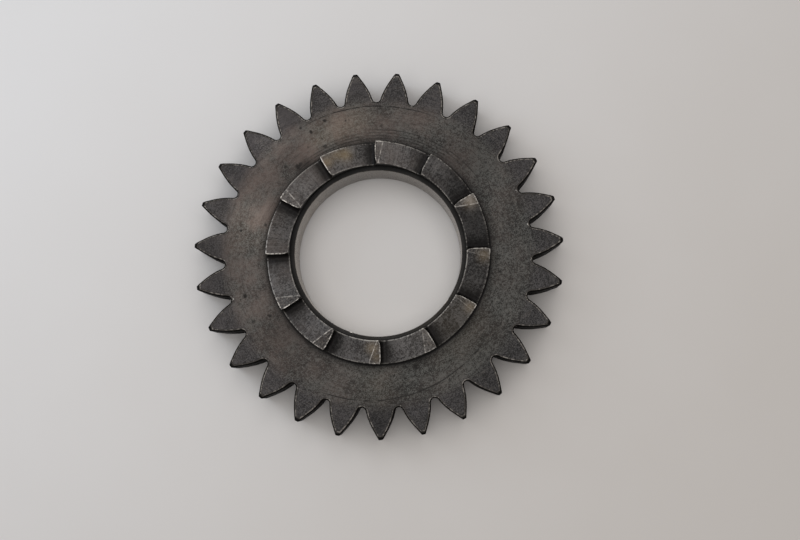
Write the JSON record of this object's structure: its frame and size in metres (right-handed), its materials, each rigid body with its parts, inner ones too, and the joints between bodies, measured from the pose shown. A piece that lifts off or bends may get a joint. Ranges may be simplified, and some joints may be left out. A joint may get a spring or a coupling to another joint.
{
  "type": "kickstart gear",
  "caption": "Dark steel spur gear with a wide plain bore and a ring of saw-shaped ratchet teeth standing round it on one face, so that a kickstart shaft drives it one way only.",
  "frame": {"origin": "on the bore's axis, in the plane of the plain back face", "axes": "+Z along the bore, from the back face towards the ratchet; +X through the middle of a gear tooth, with a ratchet crest 0.8 degrees anticlockwise of it"},
  "size_m": [0.062, 0.0622, 0.0101],
  "materials": {
    "dark_steel": "oil-blackened steel, worn bright along its edges"
  },
  "bodies": {
    "root": {"kickstart_gear": "dark_steel"}
  },
  "joints": []
}
